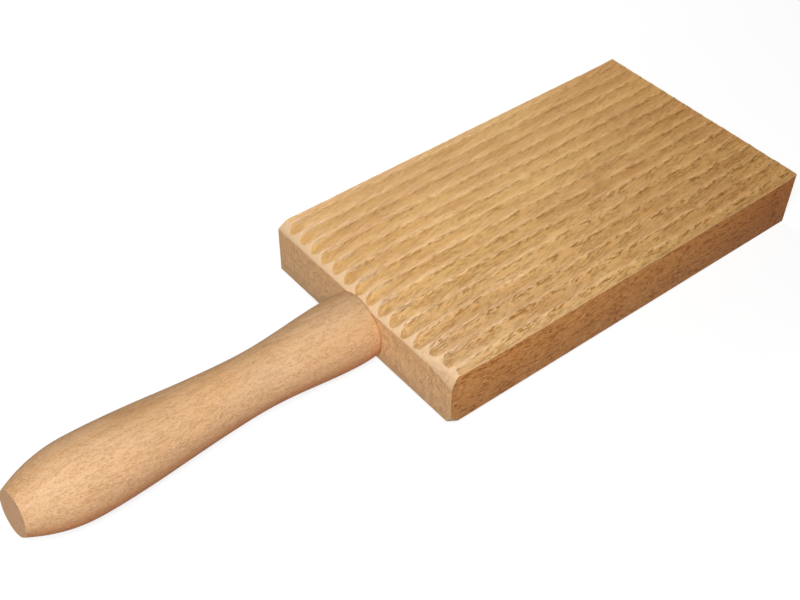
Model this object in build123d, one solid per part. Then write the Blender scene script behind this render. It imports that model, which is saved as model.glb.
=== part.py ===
from build123d import *
import math
import os

# A grooved board for rolling small dumplings, with a turned handle held by a hidden dowel.
# Millimetres. The origin is the middle of the board's flat underside, +X points away from
# the handle, +Y to the left of someone who holds the handle, and +Z out of the grooves.

# Board blank
board_length = 112.4
board_width = 65.0
board_thickness = 15.0
arris_break = 0.35

# Scallops of the grooved face, cut along the board by a round-nosed cutter
crest_pitch = 4.31
crest_land = 0.2
groove_depth = 0.52

# Sanded rounding where the grooves run out above the handle
rounding_run = 3.1
rounding_drop = 2.25
rounding_bulge_share = 0.16

# Top corner knocked off to the right of the handle: along, across and down the board
right_corner_run = 1.7
right_corner_reach = 17.8
right_corner_drop = 4.0

# Top corner knocked off to the left of the handle
left_corner_run = 3.3
left_corner_reach = 6.0
left_corner_drop = 2.1

# Bottom corner bruised to the right of the handle
bruise_run = 2.1
bruise_reach = 1.4
bruise_rise = 2.6

# Turned handle: stations along its axis, from the butt to the board, and their radii
butt_to_bulb = 16.0
bulb_to_neck = 42.6
neck_to_bead = 25.2
bead_to_board = 4.0
butt_radius = 5.37
bulb_radius = 9.28
neck_radius = 6.97
bead_radius = 8.57
shoulder_radius = 8.37
shoulder_round = 0.8
butt_taper_angle = 27.0
axis_height = 6.3

# The butt is sawn a little out of square
butt_lift_angle = 6.8
butt_turn_angle = 2.5
butt_edge_break = 0.2

# Fluted dowel glued half into the board and half into the handle
dowel_length = 40.0
dowel_diameter = 8.0
dowel_chamfer = 0.9
flute_count = 18
flute_radius = 0.45
flute_depth = 0.3
glue_gap = 0.1
glue_room = 1.0

# Cuts run past the surfaces that they open by this much
overrun = 2.0

# The control points of a smooth stretch stand a third of the way in from its ends
control_share = 1 / 3

# Sizes that follow from those above
board_start = -board_length / 2
board_end = board_length / 2
right_side = -board_width / 2
left_side = board_width / 2
handle_length = butt_to_bulb + bulb_to_neck + neck_to_bead + bead_to_board
dowel_reach = dowel_length / 2
bore_radius = dowel_diameter / 2 + glue_gap
bore_depth = dowel_reach + glue_room


def board_blank():
    """The planed block, with its lower and upright edges broken by sandpaper."""
    block = Box(board_length, board_width, board_thickness, align=(Align.CENTER, Align.CENTER, Align.MIN))
    upright = block.edges().filter_by(Axis.Z)
    lower = block.faces().sort_by(Axis.Z)[0].edges()
    return chamfer(upright + lower, arris_break)


def scallops():
    """One round-nosed cut between each two crests, and one beyond each outer crest."""
    half_width = (crest_pitch - crest_land) / 2
    nose_radius = (half_width**2 + groove_depth**2) / (2 * groove_depth)
    nose_height = board_thickness - groove_depth + nose_radius
    crest_count = int(board_width / crest_pitch)
    cut_length = board_length + 2 * overrun
    cuts = []
    for index in range(crest_count + 1):
        place = (index - crest_count / 2) * crest_pitch
        nose = Cylinder(nose_radius, cut_length, rotation=(0, 90, 0))
        cuts.append(Pos(0, place, nose_height) * nose)
    return cuts


def run_out_cut():
    """What the sanded rounding takes off the grooved face's edge above the handle."""
    foot = (board_start, board_thickness - rounding_drop)
    brow = (board_start + rounding_run, board_thickness)
    bulge = rounding_bulge_share * math.hypot(rounding_run, rounding_drop)
    outside = board_start - overrun
    above = board_thickness + overrun
    outline = SagittaArc(foot, brow, bulge)
    outline += Polyline(brow, (brow[0], above), (outside, above), (outside, foot[1]), foot)
    cut_width = board_width + 2 * overrun
    return extrude(Plane.XZ * make_face(outline), amount=cut_width / 2, both=True)


def slice_corner(piece, corner, along, across, upright):
    """Cuts off a corner by the plane through one point on each of its three edges."""
    first = corner + along
    second = corner + across
    third = corner + upright
    normal = (second - first).cross(third - first)
    if normal.dot(corner - first) < 0:
        normal = normal * -1
    plane = Plane(origin=first, x_dir=second - first, z_dir=normal)
    return split(piece, bisect_by=plane, keep=Keep.BOTTOM)


def dowel_bore(direction):
    """A blind hole for half of the dowel, from the joint face along direction, +1 or -1."""
    middle = board_start + direction * (bore_depth - overrun) / 2
    hole = Cylinder(bore_radius, bore_depth + overrun, rotation=(0, 90, 0))
    return Pos(middle, 0, axis_height) * hole


def make_board():
    """The grooved board, with its worn corners and the bore for the dowel."""
    board = board_blank() - scallops() - run_out_cut() - dowel_bore(1)
    right_top = Vector(board_start, right_side, board_thickness)
    board = slice_corner(
        board,
        right_top,
        Vector(right_corner_run, 0, 0),
        Vector(0, right_corner_reach, 0),
        Vector(0, 0, -right_corner_drop),
    )
    left_top = Vector(board_start, left_side, board_thickness)
    board = slice_corner(
        board,
        left_top,
        Vector(left_corner_run, 0, 0),
        Vector(0, -left_corner_reach, 0),
        Vector(0, 0, -left_corner_drop),
    )
    right_bottom = Vector(board_start, right_side, 0)
    return slice_corner(
        board,
        right_bottom,
        Vector(bruise_run, 0, 0),
        Vector(0, bruise_reach, 0),
        Vector(0, 0, bruise_rise),
    )


def smooth_stretch(start, end):
    """A smooth S between two stations of the handle, level at both of them."""
    step = control_share * (end[0] - start[0])
    return Bezier(start, (start[0] + step, start[1]), (end[0] - step, end[1]), end)


def handle_outline():
    """Half of the handle's section, from the axis out and back, in the XZ plane."""
    bead = (board_start - bead_to_board, bead_radius)
    neck = (bead[0] - neck_to_bead, neck_radius)
    bulb = (neck[0] - bulb_to_neck, bulb_radius)
    butt = (bulb[0] - butt_to_bulb, butt_radius)
    taper = math.tan(math.radians(butt_taper_angle))
    step = control_share * butt_to_bulb
    tail = (butt[0] - overrun, butt_radius - overrun * taper)
    shoulder = (board_start, shoulder_radius)
    outline = Line(tail, butt)
    outline += Bezier(butt, (butt[0] + step, butt[1] + step * taper), (bulb[0] - step, bulb[1]), bulb)
    outline += smooth_stretch(bulb, neck)
    outline += smooth_stretch(neck, bead)
    outline += smooth_stretch(bead, shoulder)
    outline += Polyline(shoulder, (board_start, 0), (tail[0], 0), tail)
    return outline


def make_handle():
    """The turned handle, with its rounded shoulder, sawn butt and bore."""
    section = Plane.XZ * make_face(handle_outline())
    turned = revolve(section, Axis.X)
    shoulder_edge = turned.edges().filter_by(GeomType.CIRCLE).sort_by(Axis.X)[-1]
    turned = Pos(0, 0, axis_height) * fillet(shoulder_edge, shoulder_round)
    butt_centre = Vector(board_start - handle_length, 0, axis_height)
    lift = math.radians(butt_lift_angle)
    turn = math.radians(butt_turn_angle)
    facing = Vector(-math.cos(lift) * math.cos(turn), -math.cos(lift) * math.sin(turn), math.sin(lift))
    sawn = split(turned, bisect_by=Plane(origin=butt_centre, z_dir=facing), keep=Keep.BOTTOM)
    butt_edge = sawn.faces().sort_by(Axis.X)[0].edges()
    return fillet(butt_edge, butt_edge_break) - dowel_bore(-1)


def make_dowel():
    """The fluted dowel, centred on the joint between the board and the handle."""
    radius = dowel_diameter / 2
    peg = Cylinder(radius, dowel_length)
    peg = chamfer(peg.edges().filter_by(GeomType.CIRCLE), dowel_chamfer)
    flute = Cylinder(flute_radius, dowel_length + 2 * overrun)
    flutes = PolarLocations(radius + flute_radius - flute_depth, flute_count) * flute
    return Pos(board_start, 0, axis_height) * Rot(0, 90, 0) * (peg - flutes)


def main():
    """Writes each piece to a file of its own."""
    os.makedirs("parts", exist_ok=True)
    pieces = {"board": make_board(), "handle": make_handle(), "dowel": make_dowel()}
    for name, piece in pieces.items():
        solid = piece.solids()[0]
        export_step(solid, f"parts/{name}.step")
        print(name, round(solid.volume), "cubic millimetres")


main()
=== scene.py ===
"""The looks of a beech gnocchi board: its scalloped block, its turned handle and their hidden dowel.

All lengths are metres, in the part's own frame: the origin is the middle of the block's flat
underside, +X runs along the grooves away from the handle, and +Z out of the grooved face.
"""

import logging
import math
from dataclasses import dataclass
from enum import Enum
from functools import partial, reduce
from itertools import pairwise
from typing import Callable, Iterator

import bmesh
import bpy
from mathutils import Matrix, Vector


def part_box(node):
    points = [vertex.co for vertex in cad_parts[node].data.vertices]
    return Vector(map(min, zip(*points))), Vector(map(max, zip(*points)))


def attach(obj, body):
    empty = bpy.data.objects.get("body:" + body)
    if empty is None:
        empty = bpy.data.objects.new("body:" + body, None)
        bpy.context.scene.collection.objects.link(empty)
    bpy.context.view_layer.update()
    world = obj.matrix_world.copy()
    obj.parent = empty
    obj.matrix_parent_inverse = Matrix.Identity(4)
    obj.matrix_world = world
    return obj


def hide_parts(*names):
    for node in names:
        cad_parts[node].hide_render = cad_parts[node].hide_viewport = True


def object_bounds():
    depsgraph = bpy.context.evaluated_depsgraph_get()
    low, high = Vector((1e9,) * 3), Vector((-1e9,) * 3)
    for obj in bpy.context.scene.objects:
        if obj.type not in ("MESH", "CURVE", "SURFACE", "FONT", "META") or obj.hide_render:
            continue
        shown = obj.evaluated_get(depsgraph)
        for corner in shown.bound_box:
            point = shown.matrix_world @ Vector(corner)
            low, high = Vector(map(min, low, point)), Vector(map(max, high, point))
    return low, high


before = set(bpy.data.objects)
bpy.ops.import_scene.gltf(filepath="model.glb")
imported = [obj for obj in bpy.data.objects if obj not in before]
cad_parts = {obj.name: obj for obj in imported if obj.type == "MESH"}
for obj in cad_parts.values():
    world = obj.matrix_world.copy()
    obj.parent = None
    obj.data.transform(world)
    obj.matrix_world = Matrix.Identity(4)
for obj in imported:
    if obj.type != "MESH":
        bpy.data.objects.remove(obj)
CAD_LOW, CAD_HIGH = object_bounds()

log = logging.getLogger("gnocchi_board")

Colour = tuple[float, float, float]
Range = tuple[float, float]
Link = bpy.types.NodeSocket
Feeds = dict[str | int, Link | float | tuple | Vector]

# Points closer than this are one point, and a cut snaps to points that lie even closer to it.
HAIR = 1e-6
CUT_HAIR = 1e-7
# A face of more square metres than this is a true flat, and is shaded as one.
LARGE_FLAT = 8e-5
BIT_FACETS = 64
BREAK_STEPS = 3

# Where a normal's share along an axis starts to count, and from where it counts in full.
TO_END: Range = (0.72, 0.97)
TO_SIDE: Range = (0.75, 1.0)
TO_LEFT: Range = (0.15, 0.75)
TO_TOP: Range = (0.4, 0.8)
TO_UNDERSIDE: Range = (-0.45, 0.15)
ALONG_TOP: Range = (0.2, 0.5)
# The whole of a share, and the parts of a soft noise's range in which most of it lies.
WHOLE: Range = (0.0, 1.0)
MOST: Range = (0.2, 0.8)
CORE: Range = (0.3, 0.7)
# The vector sums whose result is a number.
TO_NUMBER = ("LENGTH", "DISTANCE", "DOT_PRODUCT")


def alike(value: float, target: float, step: float) -> bool:
    """True where a value lies on its target, measured against the step to the next one."""
    return abs(value - target) < step / 10


class Element(Enum):
    """A kind of mesh element that a rule can pick."""

    VERTEX = "VERT"
    EDGE = "EDGE"
    FACE = "FACE"


class Mark(Enum):
    """What a workshop step left on a face, kept on the mesh for the finish to read."""

    SANDED = "sanded"
    RUBBED = "rubbed"
    TORN = "torn"
    # Pale frayed fibres on the crests, painted partly as their highlight.
    FRAYED = "frayed"


@dataclass(frozen=True)
class Slice:
    """A straight cut: a point on it, and the direction of the side that falls away."""

    point: Vector
    waste: Vector

    @classmethod
    def off(cls, corner: Vector, reach: Vector) -> "Slice":
        """A slice that takes a corner off.

        Args:
            corner: the corner that falls away.
            reach: how far along X, Y and Z from the corner the cut meets its three edges.

        Returns:
            The slice, with the corner on its waste side.
        """
        inward = Vector([1 / length for length in reach])
        return cls(corner + Vector((reach.x, 0, 0)), -inward.normalized())


@dataclass(frozen=True)
class Ripple:
    """A shallow unevenness that a cutter or sandpaper leaves in a surface."""

    name: str
    direction: str
    depth: float
    grain_size: tuple[float, float, float]
    middle_share: float = 1.0
    turn: float = 0.0


class Workpiece:
    """One piece of wood on the bench, shaped by one step after another."""

    piece: bpy.types.Object

    def take_up(self, name: str) -> None:
        """Takes up the primitive that was just added, and opens its mesh.

        Args:
            name: the piece's name.
        """
        self.piece = bpy.context.object
        self.piece.name = name
        self.piece.data.name = name
        bpy.ops.object.transform_apply(location=True, rotation=True, scale=True)
        self.open()

    def open(self) -> None:
        """Selects this piece alone and opens its mesh for editing."""
        if bpy.context.mode != "OBJECT":
            bpy.ops.object.mode_set(mode="OBJECT")
        bpy.ops.object.select_all(action="DESELECT")
        self.piece.select_set(True)
        bpy.context.view_layer.objects.active = self.piece
        bpy.ops.object.mode_set(mode="EDIT")

    def close(self) -> None:
        """Leaves the mesh, with this piece alone selected."""
        bpy.ops.object.mode_set(mode="OBJECT")

    def pick_all(self) -> None:
        """Selects the whole mesh."""
        bpy.ops.mesh.select_all(action="SELECT")

    def pick(self, element: Element, rule: Callable[[Vector], bool]) -> None:
        """Selects each element whose corners all pass a rule, and nothing else.

        Args:
            element: the kind of element to select.
            rule: true for a corner's place that belongs to the choice.
        """
        bpy.ops.mesh.select_mode(type=element.value)
        bpy.ops.mesh.select_all(action="DESELECT")
        mesh = bmesh.from_edit_mesh(self.piece.data)
        if element is Element.VERTEX:
            chosen = [vertex for vertex in mesh.verts if rule(vertex.co)]
        else:
            items = mesh.edges if element is Element.EDGE else mesh.faces
            chosen = [item for item in items if all(rule(corner.co) for corner in item.verts)]
        for item in chosen:
            item.select_set(True)
        bmesh.update_edit_mesh(self.piece.data)

    def move(self, offset: Vector) -> None:
        """Moves what is selected."""
        bpy.ops.transform.translate(value=offset)

    def scale(self, factors: Vector, about: Vector) -> None:
        """Scales what is selected about a point."""
        bpy.ops.transform.resize(value=factors, center_override=about)

    def extrude(self, offset: Vector) -> None:
        """Extrudes what is selected, and leaves the new end selected."""
        bpy.ops.mesh.extrude_region_move(TRANSFORM_OT_translate={"value": offset})

    def line(self, point: Vector, normal: Vector) -> None:
        """Adds a row of edges where a plane meets the mesh."""
        self.pick_all()
        bpy.ops.mesh.bisect(plane_co=point, plane_no=normal, threshold=CUT_HAIR)

    def trim(self, cut: Slice, fill: bool = True) -> None:
        """Cuts the mesh, drops the waste, and leaves the new face selected.

        Args:
            cut: where the cut goes and which side falls away.
            fill: whether the cut is closed with a face.
        """
        self.pick_all()
        bpy.ops.mesh.bisect(
            plane_co=cut.point,
            plane_no=cut.waste,
            use_fill=fill,
            clear_outer=True,
            threshold=CUT_HAIR,
        )

    def break_edges(self, width: float) -> None:
        """Rounds the selected edges."""
        bpy.ops.mesh.bevel(offset=width, segments=BREAK_STEPS, affect="EDGES", clamp_overlap=True)

    def stamp(self, mark: Mark, amount: float) -> None:
        """Writes a mark on the selected faces.

        Args:
            mark: the mark to write.
            amount: how strongly the finish shows it, from 0 to 1.
        """
        self.close()
        mesh = self.piece.data
        layer = mesh.attributes.get(mark.value) or mesh.attributes.new(mark.value, "FLOAT", "FACE")
        for face in mesh.polygons:
            if face.select:
                layer.data[face.index].value = amount
        self.open()

    def apply(self, kind: str, **settings: object) -> None:
        """Changes the whole mesh with a modifier.

        Args:
            kind: the modifier's type.
            settings: the modifier's own settings.
        """
        self.close()
        change = self.piece.modifiers.new(kind.lower(), kind)
        for name, value in settings.items():
            setattr(change, name, value)
        bpy.ops.object.modifier_apply(modifier=change.name)
        self.open()

    def repeat(self, count: int, offset: Vector) -> None:
        """Copies the mesh side by side and joins the copies.

        Args:
            count: how many there are in all.
            offset: from each copy to the next.
        """
        self.apply(
            "ARRAY",
            use_relative_offset=False,
            use_constant_offset=True,
            constant_offset_displace=offset,
            count=count,
            use_merge_vertices=True,
            merge_threshold=HAIR,
        )

    def roughen(self, ripple: Ripple) -> None:
        """Presses a ripple into the whole mesh.

        Args:
            ripple: the unevenness to press in.
        """
        grain = bpy.data.textures.new(ripple.name, "CLOUDS")
        grain.noise_scale = 1.0
        gauge = bpy.data.objects.new(ripple.name, None)
        gauge.scale = ripple.grain_size
        gauge.rotation_euler = (0.0, 0.0, ripple.turn)
        bpy.context.scene.collection.objects.link(gauge)
        bpy.context.view_layer.update()
        self.apply(
            "DISPLACE",
            texture=grain,
            texture_coords="OBJECT",
            texture_coords_object=gauge,
            direction=ripple.direction,
            strength=ripple.depth,
            mid_level=ripple.middle_share,
        )
        bpy.data.objects.remove(gauge)
        bpy.data.textures.remove(grain)

    def bore(self, start: Vector, end: Vector, radius: float) -> None:
        """Drills a blind hole along X.

        Args:
            start: the middle of the hole's mouth, or a point outside it.
            end: the middle of the hole's bottom.
            radius: the hole's radius.
        """
        self.close()
        bpy.ops.object.select_all(action="DESELECT")
        bpy.ops.mesh.primitive_cylinder_add(
            vertices=BIT_FACETS,
            radius=radius,
            depth=abs(end.x - start.x),
            location=(start + end) / 2,
            rotation=(0, math.pi / 2, 0),
        )
        bit = bpy.context.object
        self.open()
        self.apply("BOOLEAN", operation="DIFFERENCE", solver="EXACT", object=bit)
        bpy.data.objects.remove(bit)

    def face_outwards(self) -> None:
        """Turns every face outwards."""
        self.pick_all()
        bpy.ops.mesh.normals_make_consistent(inside=False)

    def finish(self, smooth_angle: float, wood: bpy.types.Material) -> bpy.types.Object:
        """Closes the mesh with its doubles merged, smooths its shading and gives it its finish.

        Args:
            smooth_angle: the steepest angle between faces that is still shaded as a curve.
            wood: the material that it gets.

        Returns:
            The finished piece.
        """
        self.pick_all()
        bpy.ops.mesh.remove_doubles(threshold=HAIR)
        self.face_outwards()
        self.close()
        bpy.ops.object.shade_smooth_by_angle(angle=smooth_angle)
        mesh = self.piece.data
        for face in mesh.polygons:
            face.use_smooth = face.area < LARGE_FLAT
        mesh.materials.clear()
        mesh.materials.append(wood)
        return self.piece


class Web:
    """A node tree, with a short method for each kind of node that the finishes use."""

    def __init__(self, owner: bpy.types.Material | bpy.types.World, shader: str) -> None:
        """Opens the tree of a new material or world.

        Args:
            owner: the material or the world.
            shader: the name of the shader that its tree starts with.
        """
        owner.use_nodes = True
        self.tree = owner.node_tree
        self.shader = self.tree.nodes[shader]

    def feed(self, node: bpy.types.Node, feeds: Feeds) -> bpy.types.Node:
        """Feeds a node.

        Args:
            node: the node.
            feeds: what goes into its inputs, by name or number: a link or a constant.

        Returns:
            The same node.
        """
        for key, value in feeds.items():
            if isinstance(value, Link):
                self.tree.links.new(value, node.inputs[key])
            else:
                node.inputs[key].default_value = value
        return node

    def add(self, kind: str, feeds: Feeds, **settings: object) -> bpy.types.Node:
        """Adds a node.

        Args:
            kind: the node's type, without its ShaderNode prefix.
            feeds: what goes into its inputs.
            settings: the node's own settings.

        Returns:
            The new node.
        """
        node = self.tree.nodes.new("ShaderNode" + kind)
        for name, value in settings.items():
            setattr(node, name, value)
        return self.feed(node, feeds)

    def sum(self, operation: str, *terms: Link | float) -> Link:
        """The result of a sum on one or more numbers."""
        return self.add("Math", dict(enumerate(terms)), operation=operation).outputs[0]

    def product(self, *factors: Link | float) -> Link:
        """The product of two or more numbers, the first of them a link."""
        return reduce(partial(self.sum, "MULTIPLY"), factors)

    def vector(self, operation: str, *terms: Link | Vector) -> Link:
        """The result of a sum on one or more vectors: a vector, or a number for a length."""
        node = self.add("VectorMath", dict(enumerate(terms)), operation=operation)
        return node.outputs["Value" if operation in TO_NUMBER else "Vector"]

    def spread(self, value: Link, source: Range, start: float = 0.0, end: float = 1.0) -> Link:
        """Maps a value smoothly from one range to another, and holds it level beyond them.

        Args:
            value: the value to map.
            source: the range that it comes from.
            start: what the start of that range becomes.
            end: what its end becomes.

        Returns:
            The mapped value's link.
        """
        feeds = dict(enumerate((value, *source, start, end)))
        return self.add("MapRange", feeds, interpolation_type="SMOOTHSTEP").outputs[0]

    def where(self, share: Link, factor: float) -> Link:
        """A factor that takes effect where a share is 1, and is itself 1 where the share is 0."""
        return self.spread(share, WHOLE, 1.0, factor)

    def blend(self, share: Link, first: Link | Colour, second: Link | Colour, mode: str = "MIX") -> Link:
        """Blends two colours.

        Args:
            share: how much of the second colour shows.
            first: the colour at share 0.
            second: the colour at share 1.
            mode: how the second colour acts on the first.

        Returns:
            The blended colour's link.
        """
        feeds = {0: share}
        for key, colour in ((6, first), (7, second)):
            feeds[key] = colour if isinstance(colour, Link) else (*colour, 1.0)
        return self.add("Mix", feeds, data_type="RGBA", blend_type=mode, clamp_factor=True).outputs[2]

    def noise(
        self,
        place: Link,
        cell: Vector,
        shift: Vector = Vector((0, 0, 0)),
        detail: float = 1.0,
        turn: float = 0.0,
    ) -> bpy.types.Node:
        """Soft noise between 0 and 1, with stretched cells.

        Args:
            place: where a point is on the piece.
            cell: the size of a cell along X, Y and Z.
            shift: moves the pattern, in cells.
            detail: how much finer noise lies in the coarse one.
            turn: turns the cells about Z, in radians.

        Returns:
            The noise's node.
        """
        scale = tuple(1 / size for size in cell)
        turned = self.add("VectorRotate", {"Vector": place, "Angle": turn}, rotation_type="Z_AXIS")
        cells = self.add("Mapping", {"Vector": turned.outputs[0], "Location": shift, "Scale": scale})
        return self.add("TexNoise", {"Vector": cells.outputs[0], "Scale": 1.0, "Detail": detail})

    def seen(self) -> Link:
        """A link that is 1 for a ray from the camera, or one that a mirror or glass sends on.

        Returns:
            The link.
        """
        ray = self.add("LightPath", {}).outputs
        total = ray["Is Camera Ray"]
        for name in ("Is Glossy Ray", "Is Transmission Ray"):
            total = self.sum("MAXIMUM", total, ray[name])
        return total

    def mark(self, mark: Mark) -> Link:
        """How strongly a workshop mark shows at a point."""
        return self.add("Attribute", {}, attribute_name=mark.value).outputs["Fac"]


@dataclass(frozen=True)
class PaintedHighlightLine:
    """A painted highlight: a pale line on the upper side, where two flats of hand sanding would meet and
    catch the light.
    """

    start: Vector
    end: Vector
    width: float = 0.0003
    fade: float = 0.0015
    amount: float = 0.22

    def show(self, web: Web, place: Link, upward: Link) -> Link:
        """How strongly the line shows at a point.

        Args:
            web: the material's node tree.
            place: where the point is on the piece.
            upward: the normal's share along Z there.

        Returns:
            A link that is the line's amount on it, and 0 away from it.
        """
        run = self.end - self.start
        along = run.normalized()
        across = along.cross(Vector((0, 0, 1))).normalized()
        from_start = web.vector("SUBTRACT", place, self.start)
        shares = [web.spread(upward, ALONG_TOP)]
        for direction, middle, reach, soft in (
            (across, 0.0, self.width / 2, self.width / 2),
            (along, run.length / 2, run.length / 2, self.fade),
        ):
            offset = web.vector("DOT_PRODUCT", from_start, direction)
            off_middle = web.sum("ABSOLUTE", web.sum("SUBTRACT", offset, middle))
            shares.append(web.spread(off_middle, (reach - soft, reach + soft), 1.0, 0.0))
        return web.product(*shares, self.amount)


@dataclass(frozen=True)
class Beech:
    """The recipe for plain beech, as a solid pattern that runs through the piece.

    Its fibres run along X. The growth rings go round a far-off pith, and the rays show as short
    flecks and specks. An amount is how strongly a feature shows, and 0 leaves it out. A share
    that is named for a place is how much of the feature is there, against 1 elsewhere.
    """

    # The colours of the plain wood, of the sawn ends, of the sides, partly painted shade, and of sanded
    # places
    name: str
    pale: Colour
    warm: Colour
    end: Colour
    side: Colour
    sanded: Colour
    left_brown_share: float = 0.35
    blotch_cell: Vector = Vector((0.03, 0.009, 0.009))

    # What the colour is multiplied by where one of these shows
    dark_tint: Colour = (0.64, 0.47, 0.20)
    fleck_tint: Colour = (0.58, 0.37, 0.07)
    glint_and_painted_highlight_tint: Colour = (1.27, 1.40, 1.70)
    # The next tint darkens the far end as painted shade, and the handle's heart as the wood's own colour.
    far_painted_shade_and_heart_tint: Colour = (0.62, 0.44, 0.18)
    # The next tint is painted shade, for the top's right side and the upper part of the ends.
    painted_shade_tint: Colour = (0.58, 0.48, 0.36)
    blush_tint: Colour = (1.20, 1.50, 2.60)
    # The next tint is painted shade on the underside.
    painted_underside_shade_tint: Colour = (1.0, 1.0, 1.0)
    # The next tint is painted light on the left side.
    painted_left_light_tint: Colour = (1.0, 1.0, 1.0)

    # Growth rings: how they rise and end, where they are faint, and how the face cuts them
    pith: Vector = Vector((0, 0, 0))
    pith_scale: Vector = Vector((0.03, 1.0, 1.0))
    ring_width: float = 0.0028
    ring_amount: float = 0.25
    ring_rise: Range = (0.2, 0.92)
    ring_fall: Range = (0.92, 1.0)
    faint_share: float = 0.1
    faint_edge: Range = (0.35, 0.6)
    faint_cell: Vector = Vector((0.014, 0.004, 0.004))
    end_ring_share: float = 0.6
    flat_sawn: Range = (0.6, 0.97)
    quarter_sawn_share: float = 1.0

    # Fibres: their drift, and the streaks and dust that follow them
    drift_cell: Vector = Vector((0.05, 0.025, 0.025))
    drift: Vector = Vector((0.0, 0.006, 0.006))
    fibre_turn: float = math.radians(-7.5)
    streak_cell: Vector = Vector((0.011, 0.0005, 0.0005))
    streak_amount: float = 0.2
    side_streak_share: float = 0.4
    dust_cell: Vector = Vector((0.0006, 0.0004, 0.0004))
    dust_edge: Range = (0.35, 0.65)
    dust_amount: float = 0.12
    side_dust_share: float = 2.5
    end_dust_share: float = 0.75

    # Flecks, specks and glints, the glints pale grain and partly painted highlight: their cells, how much
    # of the face they cover, the noise's level at which one starts, and how they crowd
    fleck_cell: Vector = Vector((0.0040, 0.00045, 0.0010))
    fleck_cover: float = 0.36
    fleck_amount: float = 0.42
    side_fleck_share: float = 0.25
    speck_cell: Vector = Vector((0.0017, 0.00026, 0.00035))
    speck_cover: float = 0.42
    speck_amount: float = 0.40
    side_speck_share: float = 1.3
    left_speck_share: float = 0.4
    glint_amount: float = 0.32
    side_glint_share: float = 1.6
    bare_level: float = 0.74
    level_fall: float = 0.34
    level_edge: Range = (-0.02, 0.04)
    crowd_size: float = 4.0
    crowding: float = 0.08

    # Grain torn by the cutter, and the fibres that stand frayed on the crests, painted partly as their
    # highlight, or lifted in the dips
    clean_share: float = 1.0
    right_torn_share: float = 1.0
    left_torn_share: float = 1.0
    fray_cell: Vector = Vector((0.0024, 0.0007, 0.0007))
    fray_edge: Range = (0.46, 0.54)
    fray_and_painted_highlight_amount: float = 0.0
    lifted_edge: Range = (0.46, 0.56)
    lifted_run: Range = (-0.053, -0.045)
    lifted_amount: float = 0.0

    # Slow changes: painted shade along the piece, across its top and up its end, a pinker tone, one dark
    # heart of the wood's own, and a painted highlight line
    far_run: Range = (0.0, 0.066)
    far_painted_shade_amount: float = 0.0
    side_far_painted_shade_share: float = 1.9
    right_run: Range = (-0.03, 0.004)
    right_painted_shade_amount: float = 0.0
    blush_run: Range = (-0.056, 0.01)
    blush_amount: float = 0.0
    heart_middle: Vector = Vector((0, 0, 0))
    heart_run: Range = (0.003, 0.01)
    heart_amount: float = 0.0
    end_top_painted_shade_run: Range = (0.0045, 0.0115)
    end_top_painted_shade_amount: float = 0.0
    painted_highlight_line: PaintedHighlightLine | None = None

    # Powder on sanded places, relief and sheen
    powder_share: float = 0.75
    relief: float = 0.00011
    streak_relief: float = 0.5
    dust_relief: float = 0.15
    glint_relief: float = 0.7
    sanded_relief_share: float = 0.3
    roughness: float = 0.66
    roughness_swing: float = 0.08
    polish: float = 0.3

    def make(self) -> bpy.types.Material:
        """Makes the material, which reads Object coordinates and the marks on the mesh.

        Returns:
            The material.
        """
        material = bpy.data.materials.new(self.name)
        BeechWeb(material, self).dress()
        return material


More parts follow.
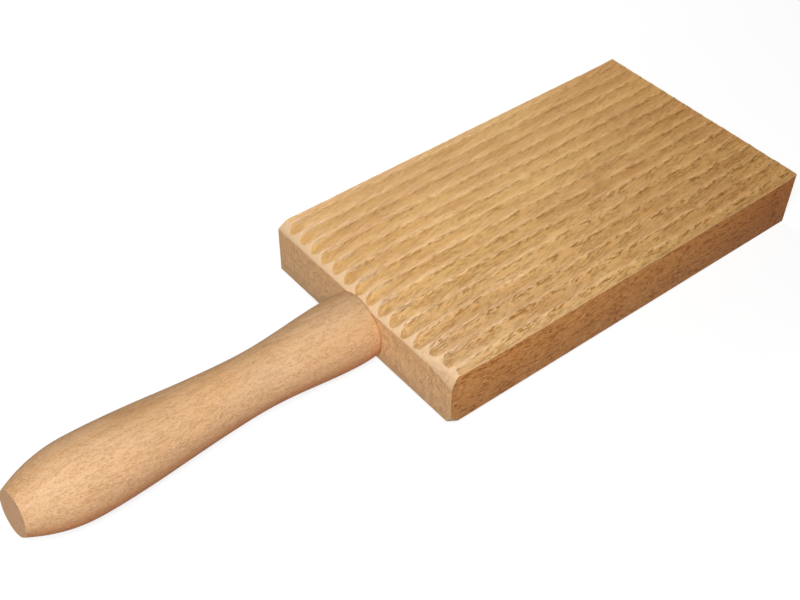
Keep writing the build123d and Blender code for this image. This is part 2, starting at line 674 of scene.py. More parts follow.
class BeechWeb(Web):
    """The node tree of a beech finish, with the patterns that its steps share."""

    def __init__(self, material: bpy.types.Material, wood: Beech) -> None:
        """Reads where a point is and how it faces, and lays out the shared patterns.

        Args:
            material: the material that gets the finish.
            wood: the recipe to follow.
        """
        super().__init__(material, "Principled BSDF")
        self.wood = wood
        point = self.add("TexCoord", {}).outputs
        self.spot = point["Object"]
        self.normal = point["Normal"]
        self.along, self.across, self.height = self.add("SeparateXYZ", {0: self.spot}).outputs
        self.forward, self.leftward, self.upward = self.add("SeparateXYZ", {0: self.normal}).outputs
        self.on_end = self.spread(self.sum("ABSOLUTE", self.forward), TO_END)
        self.on_side = self.spread(self.sum("ABSOLUTE", self.leftward), TO_SIDE)
        self.on_left = self.spread(self.leftward, TO_SIDE)
        self.on_top = self.spread(self.upward, TO_TOP)

        self.place = self.drifted()
        self.ringed = self.rings()
        self.streak = self.clouds(wood.streak_cell, detail=3.0, turn=wood.fibre_turn)
        self.fleck = self.dashes(wood.fleck_cell, wood.fleck_cover, Vector((5, 2, 9)))
        self.speck = self.dashes(wood.speck_cell, wood.speck_cover, Vector((1, 8, 4)))
        self.glint = self.dashes(wood.speck_cell, wood.speck_cover, Vector((7, 3, 2)))
        self.dust = self.clouds(wood.dust_cell)
        self.loose = self.clouds(wood.fray_cell, Vector((4, 1, 3)))

        width = (CAD_LOW.y, CAD_HIGH.y)
        self.askew = self.spread(self.across, width, wood.right_torn_share, wood.left_torn_share)
        torn = self.spread(self.mark(Mark.TORN), WHOLE, wood.clean_share, 1.0)
        off_top = self.sum("SUBTRACT", 1.0, self.on_top)
        self.torn = self.sum("MAXIMUM", self.product(torn, self.askew), off_top)

    def dress(self) -> None:
        """Lays the colour on step by step, and feeds it to the shader with the relief and the sheen."""
        self.grow()
        self.open_grain()
        self.shade()
        self.show_ends()
        self.rub()
        level, swing = self.wood.roughness, self.wood.roughness_swing
        self.feed(self.shader, {
            "Base Color": self.colour,
            "Normal": self.relief(),
            "Roughness": self.spread(self.streak, MOST, level + swing, level - swing),
            "Specular IOR Level": self.wood.polish,
        })

    def tint(self, share: Link, tint: Colour) -> None:
        """Multiplies the colour by a tint, as far as a share goes."""
        self.colour = self.blend(share, self.colour, tint, "MULTIPLY")

    def cover(self, share: Link, colour: Link | Colour) -> None:
        """Covers the colour with another, as far as a share goes."""
        self.colour = self.blend(share, self.colour, colour)

    def clouds(
        self,
        cell: Vector,
        shift: Vector = Vector((0, 0, 0)),
        detail: float = 2.0,
        turn: float = 0.0,
    ) -> Link:
        """Soft noise between 0 and 1 that follows the fibres."""
        return self.noise(self.place, cell, shift, detail, turn).outputs["Fac"]

    def drifted(self) -> Link:
        """Where a point is among the fibres, which drift a little to both sides.

        Returns:
            The point's place with the drift added.
        """
        slow = self.noise(self.spot, self.wood.drift_cell).outputs["Color"]
        centred = self.vector("SUBTRACT", slow, Vector((0.5, 0.5, 0.5)))
        return self.vector("ADD", self.spot, self.vector("MULTIPLY", centred, self.wood.drift))

    def dashes(self, cell: Vector, cover: float, shift: Vector) -> Link:
        """Short ragged dashes along the fibres.

        Args:
            cell: the size of the pattern's cells.
            cover: how much of the face the dashes cover.
            shift: moves the pattern, in cells.

        Returns:
            A link that is 1 inside a dash and 0 between the dashes.
        """
        wood = self.wood
        cloud = self.clouds(cell, shift, 2.0, wood.fibre_turn)
        crowd = self.clouds(cell * wood.crowd_size, shift, 1.0, wood.fibre_turn)
        raised = self.sum("ADD", cloud, self.spread(crowd, CORE, -wood.crowding, wood.crowding))
        level = wood.bare_level - wood.level_fall * cover
        return self.spread(raised, (level + wood.level_edge[0], level + wood.level_edge[1]))

    def rings(self) -> Link:
        """The growth rings, faint in some stretches and where the face cuts them squarely.

        Returns:
            A link that is 0 in early wood and rises to the rings' amount in late wood.
        """
        wood = self.wood
        off_pith = self.vector("SUBTRACT", self.place, wood.pith)
        round_pith = self.vector("MULTIPLY", off_pith, wood.pith_scale)
        ring = self.sum("FRACT", self.sum("DIVIDE", self.vector("LENGTH", round_pith), wood.ring_width))
        rise = self.spread(ring, wood.ring_rise)
        fall = self.spread(ring, wood.ring_fall, 1.0, 0.0)
        facing = self.vector("DOT_PRODUCT", self.vector("NORMALIZE", round_pith), self.normal)
        figure = self.spread(self.sum("ABSOLUTE", facing), wood.flat_sawn, wood.quarter_sawn_share, 1.0)
        faint = self.clouds(wood.faint_cell, Vector((2, 4, 6)), 1.0)
        least = wood.faint_share * wood.ring_amount
        amount = self.spread(faint, wood.faint_edge, least, wood.ring_amount)
        return self.product(rise, fall, figure, amount)

    def grow(self) -> None:
        """Starts with the wood: its blotches, rings and streaks, and its sides, browner partly as painted
        shade.
        """
        wood = self.wood
        blotch = self.clouds(wood.blotch_cell, Vector((3, 7, 1)))
        self.colour = self.blend(self.spread(blotch, CORE), wood.pale, wood.warm)
        # The sides' browner colour: partly their own grain, partly painted shade. The left side gets less
        # of it.
        self.cover(self.product(self.on_side, self.where(self.on_left, wood.left_brown_share)), wood.side)
        self.tint(self.ringed, wood.dark_tint)
        streaked = self.spread(self.streak, CORE, wood.streak_amount, 0.0)
        streaked = self.product(streaked, self.where(self.on_side, wood.side_streak_share))
        self.tint(streaked, wood.dark_tint)

    def open_grain(self) -> None:
        """Adds the opened grain's flecks and specks, and its glints and frayed crests, partly painted
        highlight.
        """
        wood = self.wood
        shares = [
            self.product(pattern, amount, self.torn, self.where(self.on_side, side_share))
            for pattern, amount, side_share in (
                (self.glint, wood.glint_amount, wood.side_glint_share),
                (self.fleck, wood.fleck_amount, wood.side_fleck_share),
                (self.speck, wood.speck_amount, wood.side_speck_share),
            )
        ]
        glinting, flecked, specked = shares
        specked = self.product(specked, self.where(self.on_left, wood.left_speck_share))
        # Glints: pale dashes of grain, partly painted highlight.
        self.tint(glinting, wood.glint_and_painted_highlight_tint)
        self.tint(self.sum("MAXIMUM", flecked, specked), wood.fleck_tint)
        # Frayed crests: pale fibres, painted partly as the crests' highlight.
        frayed = self.spread(self.loose, wood.fray_edge, 0.0, wood.fray_and_painted_highlight_amount)
        self.tint(self.product(self.mark(Mark.FRAYED), frayed, self.on_top, self.askew), wood.glint_and_painted_highlight_tint)

    def shade(self) -> None:
        """Adds the slow changes over the piece: painted shade and painted light, a pinker tone, the dark
        heart and the painted highlight line.
        """
        wood = self.wood
        # Painted shade: the top darkens towards the right side.
        painted_right_shade = self.spread(self.across, wood.right_run, wood.right_painted_shade_amount, 0.0)
        painted_right_shade = self.product(painted_right_shade, self.on_top)
        self.tint(painted_right_shade, wood.painted_shade_tint)
        near = self.spread(self.along, wood.blush_run, wood.blush_amount, 0.0)
        self.tint(self.product(painted_right_shade, near), wood.blush_tint)
        # Painted shade: darker towards the far end, and more so on the sides. The heart's darkening is
        # the wood's own.
        painted_far_shade = self.spread(self.along, wood.far_run, 0.0, wood.far_painted_shade_amount)
        painted_far_shade = self.product(painted_far_shade, self.where(self.on_side, wood.side_far_painted_shade_share))
        off_heart = self.vector("DISTANCE", self.spot, wood.heart_middle)
        heart = self.spread(off_heart, wood.heart_run, wood.heart_amount, 0.0)
        self.tint(self.sum("ADD", painted_far_shade, heart), wood.far_painted_shade_and_heart_tint)
        # Painted light: the left side is lightened.
        self.tint(self.spread(self.leftward, TO_LEFT), wood.painted_left_light_tint)
        # Painted shade: the underside is darkened and reddened.
        self.tint(self.spread(self.upward, TO_UNDERSIDE, 1.0, 0.0), wood.painted_underside_shade_tint)
        # A painted highlight along the handle's upper side.
        if wood.painted_highlight_line:
            self.tint(wood.painted_highlight_line.show(self, self.spot, self.upward), wood.glint_and_painted_highlight_tint)

    def show_ends(self) -> None:
        """Gives the ends their own colour, with fainter rings, and painted shade that darkens them
        towards the top.
        """
        wood = self.wood
        ringed = self.product(self.ringed, wood.end_ring_share)
        self.cover(self.on_end, self.blend(ringed, wood.end, wood.dark_tint, "MULTIPLY"))
        # Painted shade: the ends darken towards the top.
        painted_end_top_shade = self.spread(self.height, wood.end_top_painted_shade_run, 0.0, wood.end_top_painted_shade_amount)
        self.tint(self.product(painted_end_top_shade, self.on_end), wood.painted_shade_tint)

    def rub(self) -> None:
        """Adds the dust in the pores, the lifted fibres, and the sanded and rubbed places."""
        wood = self.wood
        dusty = self.product(
            self.spread(self.dust, wood.dust_edge, wood.dust_amount, 0.0),
            self.where(self.on_side, wood.side_dust_share),
            self.where(self.on_end, wood.end_dust_share),
        )
        self.tint(dusty, wood.fleck_tint)
        lifted = self.product(
            self.spread(self.along, wood.lifted_run, wood.lifted_amount, 0.0),
            self.mark(Mark.TORN),
            self.on_top,
            self.spread(self.loose, wood.lifted_edge, 1.0, 0.0),
        )
        self.cover(lifted, wood.sanded)
        powder = self.spread(self.dust, CORE, wood.powder_share, 1.0)
        for mark in (Mark.SANDED, Mark.RUBBED):
            self.cover(self.product(self.mark(mark), powder), wood.sanded)

    def relief(self) -> Link:
        """The relief: streaks, dust and glints stand up, and flecks and specks lie open.

        Returns:
            The bumped normal's link.
        """
        wood = self.wood
        grain = self.product(self.streak, wood.streak_relief)
        for pattern, share in ((self.dust, wood.dust_relief), (self.glint, wood.glint_relief)):
            grain = self.sum("ADD", grain, self.product(pattern, share))
        grain = self.sum("SUBTRACT", grain, self.sum("MAXIMUM", self.fleck, self.speck))
        smoothed = self.where(self.mark(Mark.SANDED), wood.sanded_relief_share)
        height = self.product(grain, smoothed, self.torn)
        return self.add("Bump", {"Height": height, "Distance": wood.relief, "Strength": 1.0}).outputs[0]


BOARD_BEECH = Beech(
    name="board_beech",
    pale=(0.832, 0.517, 0.206),
    warm=(0.755, 0.445, 0.177),
    end=(0.88, 0.53, 0.265),
    side=(0.665, 0.295, 0.088),
    sanded=(0.82, 0.56, 0.335),
    pith=Vector((0.0, 0.012, -0.09)),
    quarter_sawn_share=0.5,
    fleck_cover=0.31,
    speck_amount=0.65,
    glint_amount=0.6,
    clean_share=0.55,
    right_torn_share=1.3,
    left_torn_share=0.55,
    fray_and_painted_highlight_amount=0.65,
    lifted_amount=0.75,
    far_painted_shade_amount=0.45,
    right_painted_shade_amount=0.2,
    blush_amount=1.0,
    end_top_painted_shade_amount=0.27,
    relief=0.00014,
    roughness=0.6,
    polish=0.22,
)

HANDLE_BEECH = Beech(
    name="handle_beech",
    pale=(0.752, 0.472, 0.259),
    warm=(0.746, 0.442, 0.216),
    end=(0.76, 0.375, 0.18),
    side=(0.77, 0.46, 0.245),
    sanded=(0.84, 0.58, 0.34),
    painted_underside_shade_tint=(0.96, 0.64, 0.46),
    painted_left_light_tint=(1.12, 1.09, 1.09),
    pith=Vector((-0.12, -0.02, -0.05)),
    ring_width=0.0008,
    ring_amount=0.22,
    quarter_sawn_share=0.12,
    fibre_turn=math.radians(2.0),
    streak_amount=0.08,
    fleck_cell=Vector((0.0022, 0.0005, 0.0005)),
    fleck_cover=0.25,
    fleck_amount=0.1,
    speck_cell=Vector((0.0011, 0.00024, 0.00024)),
    speck_amount=0.2,
    glint_amount=0.26,
    heart_middle=Vector((-0.1125, 0.001, 0.0160)),
    heart_run=(0.0033, 0.011),
    heart_amount=0.18,
    painted_highlight_line=PaintedHighlightLine(Vector((-0.1422, -0.0041, 0.011)), Vector((-0.1290, -0.0030, 0.015))),
    relief=0.00005,
)

DOWEL_BEECH = Beech(
    name="dowel_beech",
    pale=(0.76, 0.55, 0.33),
    warm=(0.70, 0.48, 0.27),
    end=(0.58, 0.39, 0.23),
    side=(0.72, 0.50, 0.29),
    sanded=(0.82, 0.63, 0.42),
    pith=Vector((0.0, 0.03, -0.04)),
    ring_width=0.0017,
    fibre_turn=0.0,
)


@dataclass
class GroovedBoard(Workpiece):
    """The block, with lengthwise scallops on its top and hand-sanded corners at the handle end."""

    # Scallops
    pitch: float = 0.00431
    land: float = 0.0002
    depth: float = 0.00052
    right_depth_share: float = 1.55
    left_depth_share: float = 0.42
    right_fray: float = 1.0
    left_fray: float = 0.75
    steps_across: int = 12
    steps_along: int = 430
    grain_turn: float = math.radians(7.5)

    # Their dips at the handle end, and where the dips ease out towards the right corner
    plunge: float = 0.0011
    plunge_run: float = 0.0055
    plunge_power: float = 1.5
    eased_share: float = 0.35
    eased_run: float = 0.0006
    eased_pitches: float = 1.5
    eased_reach: float = 0.0085

    # The far end, where they run out and the saw leaned
    far_depth_share: float = 0.12
    far_run: float = 0.006
    far_undercut: float = 0.0013

    # Broken edges, and how pale each is rubbed
    arris: float = 0.00035
    arris_rub: float = 0.7
    top_arris: float = 0.00015
    top_arris_slope: float = 0.3
    top_rub: float = 0.5

    # The rounding above the handle, and the worn corners: how far along X, Y and Z each goes
    rounding_run: float = 0.0046
    rounding_drop: float = 0.00225
    rounding_bulge_share: float = 0.116
    rounding_strips: int = 7
    right_corner: Vector = Vector((0.0017, 0.0178, -0.0040))
    left_corner: Vector = Vector((0.0033, -0.0060, -0.0021))
    bruise: Vector = Vector((0.0021, 0.0014, 0.0026))
    corner_sanding: float = 0.8

    bore_radius: float = 0.0041
    bore_depth: float = 0.021
    overrun: float = 0.001
    smooth_angle: float = math.radians(50)

    def __post_init__(self) -> None:
        """Reads the block's place from the frame, and sets out the rows of the grooved face."""
        self.low, self.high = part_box("board")
        self.middle = (self.low + self.high) / 2
        self.axis_height = sum(corner.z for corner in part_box("handle")) / 2
        self.start = self.low.x + self.top_arris
        self.length = self.high.x - self.low.x - 2 * self.top_arris
        self.grooves = int((self.high.y - self.low.y) / self.pitch) + 1
        self.step_along = self.length / self.steps_along
        self.step_across = self.pitch / self.steps_across

    def build(self) -> bpy.types.Object:
        """Models and dresses the board.

        Returns:
            The finished board.
        """
        self.cut_one_groove()
        self.repeat(self.grooves, Vector((0, self.pitch, 0)))
        self.deepen_to_the_right()
        self.deepen_at_the_handle()
        self.ease_the_right_corner()
        for ripple in self.ripples():
            self.roughen(ripple)
        self.close_block()
        self.trim(self.far_cut())
        self.break_arrises()
        self.sand_handle_end()
        mouth = Vector((self.low.x - self.overrun, 0, self.axis_height))
        self.bore(mouth, Vector((self.low.x + self.bore_depth, 0, self.axis_height)), self.bore_radius)
        board = self.finish(self.smooth_angle, BOARD_BEECH.make())
        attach(board, "root")
        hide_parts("board")
        return board

    def groove_drop(self, offset: float) -> float:
        """How far the scallop lies below the crests.

        Args:
            offset: the distance from the groove's middle.

        Returns:
            The drop, which is zero on the narrow land between two scallops.
        """
        half = (self.pitch - self.land) / 2
        if offset >= half:
            return 0.0
        nose = (half**2 + self.depth**2) / (2 * self.depth)
        return self.depth - nose + math.sqrt(nose**2 - offset**2)

    def cut_one_groove(self) -> None:
        """Models the scallop nearest to the board's right side, from crest to crest."""
        first = -self.pitch * (self.grooves - 1) / 2
        place = Vector((self.middle.x, first, self.high.z))
        bpy.ops.object.select_all(action="DESELECT")
        bpy.ops.mesh.primitive_grid_add(
            x_subdivisions=self.steps_along,
            y_subdivisions=self.steps_across,
            size=1,
            location=place,
        )
        self.take_up("grooved_board")
        self.pick_all()
        self.scale(Vector((self.length, self.pitch, 1)), place)
        half = (self.pitch - self.land) / 2
        for side in (-half, half):
            self.line(place + Vector((0, side, 0)), Vector((0, 1, 0)))
        for row in range(self.steps_across // 2):
            offset = row * self.step_across
            self.pick(Element.VERTEX, lambda spot: alike(abs(spot.y - first), offset, self.step_across))
            self.move(Vector((0, 0, -self.groove_drop(offset))))
        for column in range(int(self.far_run / self.step_along) + 1):
            inward = column * self.step_along
            station = self.middle.x + self.length / 2 - inward
            rise = (1 - inward / self.far_run) ** 2
            self.pick(Element.VERTEX, lambda spot: alike(spot.x, station, self.step_along))
            self.scale(Vector((1, 1, 1 + (self.far_depth_share - 1) * rise)), place)
        self.mark_crests(first)

    def mark_crests(self, middle: float) -> None:
        """Marks the two torn rows at each edge of a scallop, and the frayed outer one of them.

        Args:
            middle: where the scallop's middle lies across the board.
        """
        edge = self.pitch / 2 + HAIR
        land = (self.pitch - self.land) / 2 + HAIR
        inner = self.pitch / 2 - self.step_across - HAIR
        self.pick(Element.FACE, lambda spot: abs(spot.y - middle) > inner - self.step_across)
        self.stamp(Mark.TORN, 1.0)
        self.pick(Element.FACE, lambda spot: -edge < spot.y - middle < -inner)
        self.stamp(Mark.FRAYED, self.right_fray)
        self.pick(Element.FACE, lambda spot: inner < spot.y - middle < land)
        self.stamp(Mark.FRAYED, self.left_fray)

    def deepen_to_the_right(self) -> None:
        """Makes the scallops deeper towards the right side, as a cutter head set askew does."""
        last = self.grooves - 1
        loss = self.left_depth_share - self.right_depth_share
        for index in range(self.grooves):
            middle = (index - last / 2) * self.pitch
            self.pick(Element.VERTEX, lambda spot: abs(spot.y - middle) < self.pitch / 2 - HAIR)
            share = self.right_depth_share + loss * index / last
            self.scale(Vector((1, 1, share)), Vector((0, middle, self.high.z)))

    def deepen_at_the_handle(self) -> None:
        """Deepens each scallop over its last stretch, where the cutter dips at the end of its pass."""
        half = self.pitch / 2
        outer_crest = self.pitch * (self.grooves / 2 - 1)
        for column in range(int(self.plunge_run / self.step_along) + 1):
            station = self.start + column * self.step_along
            share = (1 - column * self.step_along / self.plunge_run) ** self.plunge_power
            for row in range(self.steps_across // 2):
                offset = row * self.step_across

                def on_rows(spot: Vector) -> bool:
                    """True at this station, this far from the middle of any scallop that is whole."""
                    if not alike(spot.x, station, self.step_along) or abs(spot.y) > outer_crest:
                        return False
                    off_crest = abs((spot.y + half) % self.pitch - half)
                    return alike(half - off_crest, offset, self.step_across)

                self.pick(Element.VERTEX, on_rows)
                self.move(Vector((0, 0, -self.plunge * share * self.groove_drop(offset) / self.depth)))

    def ease_the_right_corner(self) -> None:
        """Eases the dips out towards the corner to the right of the handle."""
        edge = self.low.y + self.eased_pitches * self.pitch

        def at_corner(spot: Vector) -> bool:
            """True in the dips at the corner."""
            return spot.x < self.start + self.eased_run and spot.y < edge and spot.z < self.high.z - HAIR

        self.pick(Element.VERTEX, at_corner)
        bpy.ops.transform.resize(
            value=(1, 1, self.eased_share),
            center_override=(self.start, edge, self.high.z),
            use_proportional_edit=True,
            proportional_edit_falloff="SMOOTH",
            proportional_size=self.eased_reach,
        )

    def ripples(self) -> Iterator[Ripple]:
        """The cutter's chatter and the torn grain, from the widest to the finest."""
        yield Ripple("wandering", "Y", 0.0005, (0.018, 0.009, 0.009), 0.5)
        yield Ripple("chatter", "Z", 0.00016, (0.009, 0.0022, 0.009), turn=self.grain_turn)
        yield Ripple("fray", "Y", 0.0006, (0.0022, 0.0010, 0.005), 0.5, self.grain_turn)
        yield Ripple("torn_grain", "Z", 0.00030, (0.0030, 0.0007, 0.005), turn=self.grain_turn)

    def close_block(self) -> None:
        """Trims the grooved sheet to the board's width, and gives it sides and an underside."""
        inset = self.top_arris
        for side, outward in ((self.low.y + inset, -1), (self.high.y - inset, 1)):
            self.trim(Slice(Vector((0, side, 0)), Vector((0, outward, 0))), fill=False)
        bpy.ops.mesh.select_mode(type=Element.EDGE.value)
        bpy.ops.mesh.select_all(action="DESELECT")
        bpy.ops.mesh.select_non_manifold()
        size = self.high - self.low
        slope = inset * self.top_arris_slope
        for left, remains, drop in ((inset, slope, slope), (slope, 0.0, inset - slope)):
            self.extrude(Vector((0, 0, -drop)))
            longer = (size.x - 2 * remains) / (size.x - 2 * left)
            wider = (size.y - 2 * remains) / (size.y - 2 * left)
            self.scale(Vector((longer, wider, 1)), self.middle)
        self.extrude(Vector((0, 0, self.low.z - self.high.z)))
        self.scale(Vector((1, 1, 0)), Vector((0, 0, self.low.z)))
        bpy.ops.mesh.edge_face_add()

    def far_cut(self) -> Slice:
        """The saw cut at the far end, which leans in towards the underside."""
        lean = math.atan2(self.far_undercut, self.high.z - self.low.z)
        return Slice(Vector((self.high.x, 0, self.high.z)), Vector((math.cos(lean), 0, -math.sin(lean))))

    def break_arrises(self) -> None:
        """Breaks the lower and the upright edges as sandpaper does, and rubs the upper rim."""
        low, high = self.low, self.high
        far = self.far_cut()

        def on_side(spot: Vector) -> bool:
            """True on the right or left side."""
            return min(abs(spot.y - low.y), abs(spot.y - high.y)) < HAIR

        def on_end(spot: Vector) -> bool:
            """True on either end."""
            return min(abs(spot.x - low.x), abs((spot - far.point).dot(far.waste))) < HAIR

        def on_arris(spot: Vector) -> bool:
            """True on the lower and the upright edges."""
            if abs(spot.z - low.z) < HAIR:
                return on_side(spot) or on_end(spot)
            return on_side(spot) and on_end(spot)

        def on_rim(spot: Vector) -> bool:
            """True on the narrow strip that runs round the grooved face."""
            by_side = min(spot.y - low.y, high.y - spot.y)
            by_end = min(spot.x - low.x, high.x - spot.x)
            return spot.z > high.z / 2 and min(by_side, by_end) < self.top_arris + HAIR

        self.pick(Element.FACE, on_rim)
        self.stamp(Mark.RUBBED, self.top_rub)
        self.pick(Element.EDGE, on_arris)
        self.break_edges(self.arris)
        self.stamp(Mark.RUBBED, self.arris_rub)
        by_underside = low.z + 1.5 * self.arris
        self.pick(Element.FACE, lambda spot: spot.z < by_underside)
        self.stamp(Mark.RUBBED, 0.0)

    def sand_handle_end(self) -> None:
        """Rounds the brow above the handle, and knocks three corners off."""
        for cut in self.rounding():
            self.trim(cut)
            self.stamp(Mark.SANDED, 1.0)
        right_top = Vector((self.low.x, self.low.y, self.high.z))
        left_top = Vector((self.low.x, self.high.y, self.high.z))
        worn = ((right_top, self.right_corner), (left_top, self.left_corner), (self.low, self.bruise))
        for corner, reach in worn:
            self.trim(Slice.off(corner, reach))
            self.stamp(Mark.SANDED, self.corner_sanding)

    def rounding(self) -> Iterator[Slice]:
        """The rounding above the handle as flat cuts, from its brow to its foot.

        Yields:
            Cuts that touch one arc, evenly spread along it.
        """
        chord = math.hypot(self.rounding_run, self.rounding_drop)
        slope = math.atan2(self.rounding_drop, self.rounding_run)
        half_turn = 2 * math.atan(2 * self.rounding_bulge_share)
        radius = chord / 2 / math.sin(half_turn)
        brow = Vector((self.low.x + self.rounding_run, 0, self.high.z))
        lean = math.pi / 2 + slope - half_turn
        centre = brow - radius * Vector((math.cos(lean), 0, math.sin(lean)))
        for index in range(self.rounding_strips):
            angle = lean + 2 * half_turn * (index + 0.5) / self.rounding_strips
            outward = Vector((math.cos(angle), 0, math.sin(angle)))
            yield Slice(centre + radius * outward, outward)


@dataclass
class TurnedHandle(Workpiece):
    """The turned handle: a bead at the board, a neck, a bulb and a sawn butt."""

    # The stations' distances, from the butt to the board, and their radii
    butt_to_bulb: float = 0.0160
    bulb_to_neck: float = 0.0426
    neck_to_bead: float = 0.0252
    bead_to_board: float = 0.0040
    butt_radius: float = 0.00537
    bulb_radius: float = 0.00928
    neck_radius: float = 0.00697
    bead_radius: float = 0.00857
    shoulder_radius: float = 0.00837
    shoulder_round: float = 0.0008
    shoulder_steps: int = 6

    # The butt: its taper, how far out of square it is sawn, and what the saw leaves
    butt_taper: float = math.radians(27)
    butt_lift: float = math.radians(6.8)
    butt_turn: float = math.radians(2.5)
    butt_break: float = 0.0002
    butt_rub: float = 0.4
    butt_allowance: float = 0.00002

    bore_radius: float = 0.0041
    bore_depth: float = 0.021
    overrun: float = 0.0012
    facets: int = 112
    ring_gap: float = 0.0007
    smooth_angle: float = math.radians(35)

    def __post_init__(self) -> None:
        """Reads the joint's place and the axis from the frame, and sets out the stations."""
        low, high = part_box("handle")
        self.joint = high.x
        self.axis_height = (low.z + high.z) / 2
        self.bead = self.joint - self.bead_to_board
        self.neck = self.bead - self.neck_to_bead
        self.bulb = self.neck - self.bulb_to_neck
        self.butt = self.bulb - self.butt_to_bulb + self.butt_allowance

    def build(self) -> bpy.types.Object:
        """Models and dresses the handle.

        Returns:
            The finished handle.
        """
        self.turn()
        self.roughen(Ripple("hand_sanding", "NORMAL", 0.00008, (0.012, 0.006, 0.006)))
        self.saw_butt()
        mouth = Vector((self.joint + self.overrun, 0, self.axis_height))
        self.bore(mouth, Vector((self.joint - self.bore_depth, 0, self.axis_height)), self.bore_radius)
        handle = self.finish(self.smooth_angle, HANDLE_BEECH.make())
        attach(handle, "root")
        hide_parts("handle")
        return handle

    def radius_at(self, station: float) -> float:
        """The handle's radius, before the shoulder is rounded.

        Args:
            station: a place along X.

        Returns:
            The radius there.
        """
        if station <= self.butt:
            return self.butt_radius + (station - self.butt) * math.tan(self.butt_taper)
        rise = self.butt_to_bulb * math.tan(self.butt_taper) / 3
        for start, length, first, last, lift in (
            (self.butt, self.butt_to_bulb, self.butt_radius, self.bulb_radius, rise),
            (self.bulb, self.bulb_to_neck, self.bulb_radius, self.neck_radius, 0.0),
            (self.neck, self.neck_to_bead, self.neck_radius, self.bead_radius, 0.0),
            (self.bead, self.bead_to_board, self.bead_radius, self.shoulder_radius, 0.0),
        ):
            share = (station - start) / length
            if share <= 1:
                rest = 1 - share
                near = first * rest**3 + 3 * (first + lift) * rest**2 * share
                return near + last * share**2 * (3 * rest + share)
        raise ValueError("the station lies past the joint")

    def outline(self) -> list[tuple[float, float]]:
        """The handle's outline from the butt to the joint.

        Returns:
            The stations along X, each with its radius.
        """
        start = self.butt - self.overrun
        end = self.joint - self.shoulder_round
        rings = round((end - start) / self.ring_gap)
        stations = [start + (end - start) * index / rings for index in range(rings + 1)]
        points = [(station, self.radius_at(station)) for station in stations]
        edge = self.radius_at(end)
        for index in range(1, self.shoulder_steps + 1):
            angle = math.pi / 2 * index / self.shoulder_steps
            station = end + self.shoulder_round * math.sin(angle)
            points.append((station, edge - self.shoulder_round * (1 - math.cos(angle))))
        return points

    def turn(self) -> None:
        """Turns the handle, ring by ring, from a circle at its butt, which stays over length."""
        points = self.outline()
        start, radius = points[0]
        bpy.ops.object.select_all(action="DESELECT")
        bpy.ops.mesh.primitive_circle_add(
            vertices=self.facets,
            radius=radius,
            location=(start, 0, self.axis_height),
            rotation=(0, math.pi / 2, 0),
        )
        self.take_up("turned_handle")
        self.pick_all()
        bpy.ops.mesh.edge_face_add()
        for (here, wide), (ahead, wider) in pairwise(points):
            self.extrude(Vector((ahead - here, 0, 0)))
            self.scale(Vector((1, wider / wide, wider / wide)), Vector((ahead, 0, self.axis_height)))
        self.face_outwards()

    def saw_butt(self) -> None:
        """Saws the butt a little out of square, and takes the burr off its edge."""
        facing = Vector((
            -math.cos(self.butt_lift) * math.cos(self.butt_turn),
            -math.cos(self.butt_lift) * math.sin(self.butt_turn),
            math.sin(self.butt_lift),
        ))
        middle = Vector((self.butt, 0, self.axis_height))
        self.trim(Slice(middle, facing))
        self.pick(Element.EDGE, lambda spot: abs((spot - middle).dot(facing)) < HAIR)
        self.break_edges(self.butt_break)
        self.stamp(Mark.RUBBED, self.butt_rub)


@dataclass
class GluedDowel:
    """The fluted dowel that is hidden in the joint."""

    def dress(self) -> bpy.types.Object:
        """Gives the part's own dowel its finish.

        Returns:
            The dowel.
        """
        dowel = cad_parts["dowel"]
        finish = DOWEL_BEECH.make()
        for slot in dowel.material_slots:
            slot.material = finish
        return dowel


@dataclass(frozen=True)
class Lamp:
    """A square soft lamp, aimed at the part, and perhaps kept off all but some subjects."""

    name: str
    place: Vector
    size: float
    power: float
    subjects: tuple[str, ...] = ()

    def hang(self) -> None:
        """Hangs the lamp."""
        lamp = bpy.data.lights.new(self.name, "AREA")
        lamp.shape = "SQUARE"
        lamp.size = self.size
        lamp.energy = self.power
        holder = bpy.data.objects.new(self.name, lamp)
        holder.location = self.place
        aim = (CAD_LOW + CAD_HIGH) / 2 - self.place
        holder.rotation_euler = aim.to_track_quat("-Z", "Y").to_euler()
        bpy.context.scene.collection.objects.link(holder)
        if self.subjects:
            lit = bpy.data.collections.new(self.name + "_subjects")
            for subject in self.subjects:
                lit.objects.link(bpy.data.objects[subject])
            holder.light_linking.receiver_collection = lit


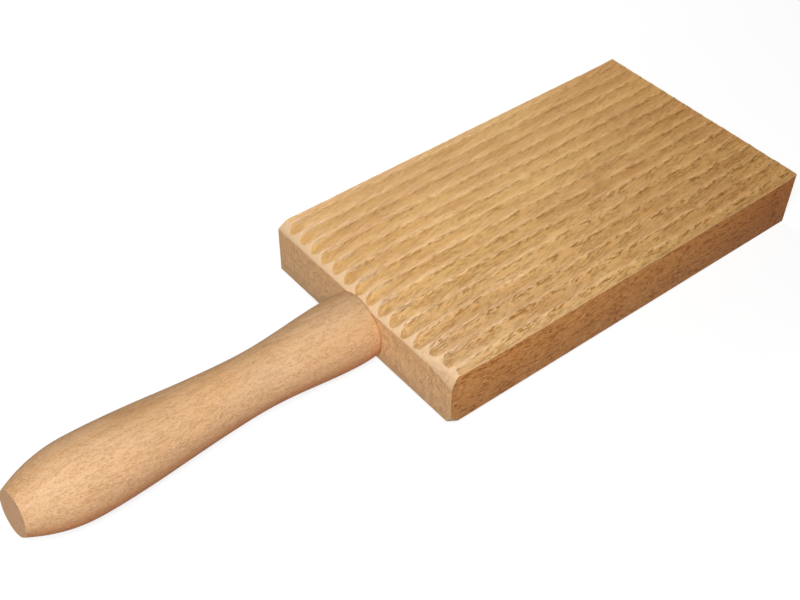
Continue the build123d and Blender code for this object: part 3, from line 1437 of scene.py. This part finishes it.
@dataclass
class Studio:
    """The pale floor, two lamps and the camera."""

    handle: TurnedHandle
    board: GroovedBoard
    floor_size: float = 6.0
    floor_colour: Colour = (0.25, 0.25, 0.25)
    floor_glow: float = 0.8
    fill_strength: float = 0.06
    key_lamp: Lamp = Lamp("key", Vector((-0.22, -0.195, 0.31)), 0.14, 1.66)
    low_lamp: Lamp = Lamp("low", Vector((0.08, 0.34, 0.115)), 0.15, 0.95, ("grooved_board", "floor"))
    camera_place: Vector = Vector((-0.185587, -0.177747, 0.2247225))
    camera_tilt: float = math.radians(46.143)
    camera_heading: float = math.radians(-38.425)
    lens: float = 60.55
    sensor_width: float = 36.0
    nearest: float = 0.01

    def set_up(self) -> None:
        """Sets the whole studio up."""
        self.lay_floor()
        self.light()
        self.aim_camera()
        bpy.context.scene.view_settings.view_transform = "Standard"

    def lay_floor(self) -> None:
        """Lays the floor under the board's far lower edge and the handle's bulb."""
        far = Vector((self.board.high.x - self.board.arris, 0, self.board.low.z))
        rise = far.z - self.handle.axis_height
        slope = max((rise + radius) / (far.x - station) for station, radius in self.handle.outline())
        turn = (0, -math.atan(slope), 0)
        bpy.ops.object.select_all(action="DESELECT")
        bpy.ops.mesh.primitive_plane_add(size=self.floor_size, location=far, rotation=turn)
        floor = bpy.context.object
        floor.name = "floor"
        bpy.ops.object.transform_apply(location=True, rotation=True, scale=True)
        material = bpy.data.materials.new("pale_floor")
        web = Web(material, "Principled BSDF")
        web.feed(web.shader, {
            "Base Color": (*self.floor_colour, 1.0),
            "Roughness": 1.0,
            "Specular IOR Level": 0.0,
            "Emission Color": (1.0, 1.0, 1.0, 1.0),
            "Emission Strength": web.product(web.seen(), self.floor_glow),
        })
        floor.data.materials.append(material)

    def light(self) -> None:
        """Hangs the lamps, and fills the shade from all round."""
        world = bpy.data.worlds.new("studio")
        bpy.context.scene.world = world
        web = Web(world, "Background")
        level = web.add("MapRange", {"Value": web.seen(), "To Min": self.fill_strength, "To Max": 1.0})
        web.feed(web.shader, {"Color": (1.0, 1.0, 1.0, 1.0), "Strength": level.outputs[0]})
        for lamp in (self.key_lamp, self.low_lamp):
            lamp.hang()

    def aim_camera(self) -> None:
        """Puts the camera where the photograph was taken from."""
        eye = bpy.data.cameras.new("camera")
        eye.sensor_fit = "HORIZONTAL"
        eye.sensor_width = self.sensor_width
        eye.lens = self.lens
        eye.clip_start = self.nearest
        camera = bpy.data.objects.new("camera", eye)
        camera.location = self.camera_place
        camera.rotation_euler = (self.camera_tilt, 0.0, self.camera_heading)
        bpy.context.scene.collection.objects.link(camera)
        bpy.context.scene.camera = camera


def report(piece: bpy.types.Object) -> None:
    """Logs a piece's name and mesh size."""
    piece.data.calc_loop_triangles()
    log.info("%s: %d triangles", piece.name, len(piece.data.loop_triangles))


def main() -> None:
    """Builds the pieces in order, then the studio round them."""
    logging.basicConfig(level=logging.INFO, format="%(name)s %(message)s")
    board = GroovedBoard()
    report(board.build())
    handle = TurnedHandle()
    report(handle.build())
    report(GluedDowel().dress())
    Studio(handle, board).set_up()


if __name__ == "__main__":
    main()
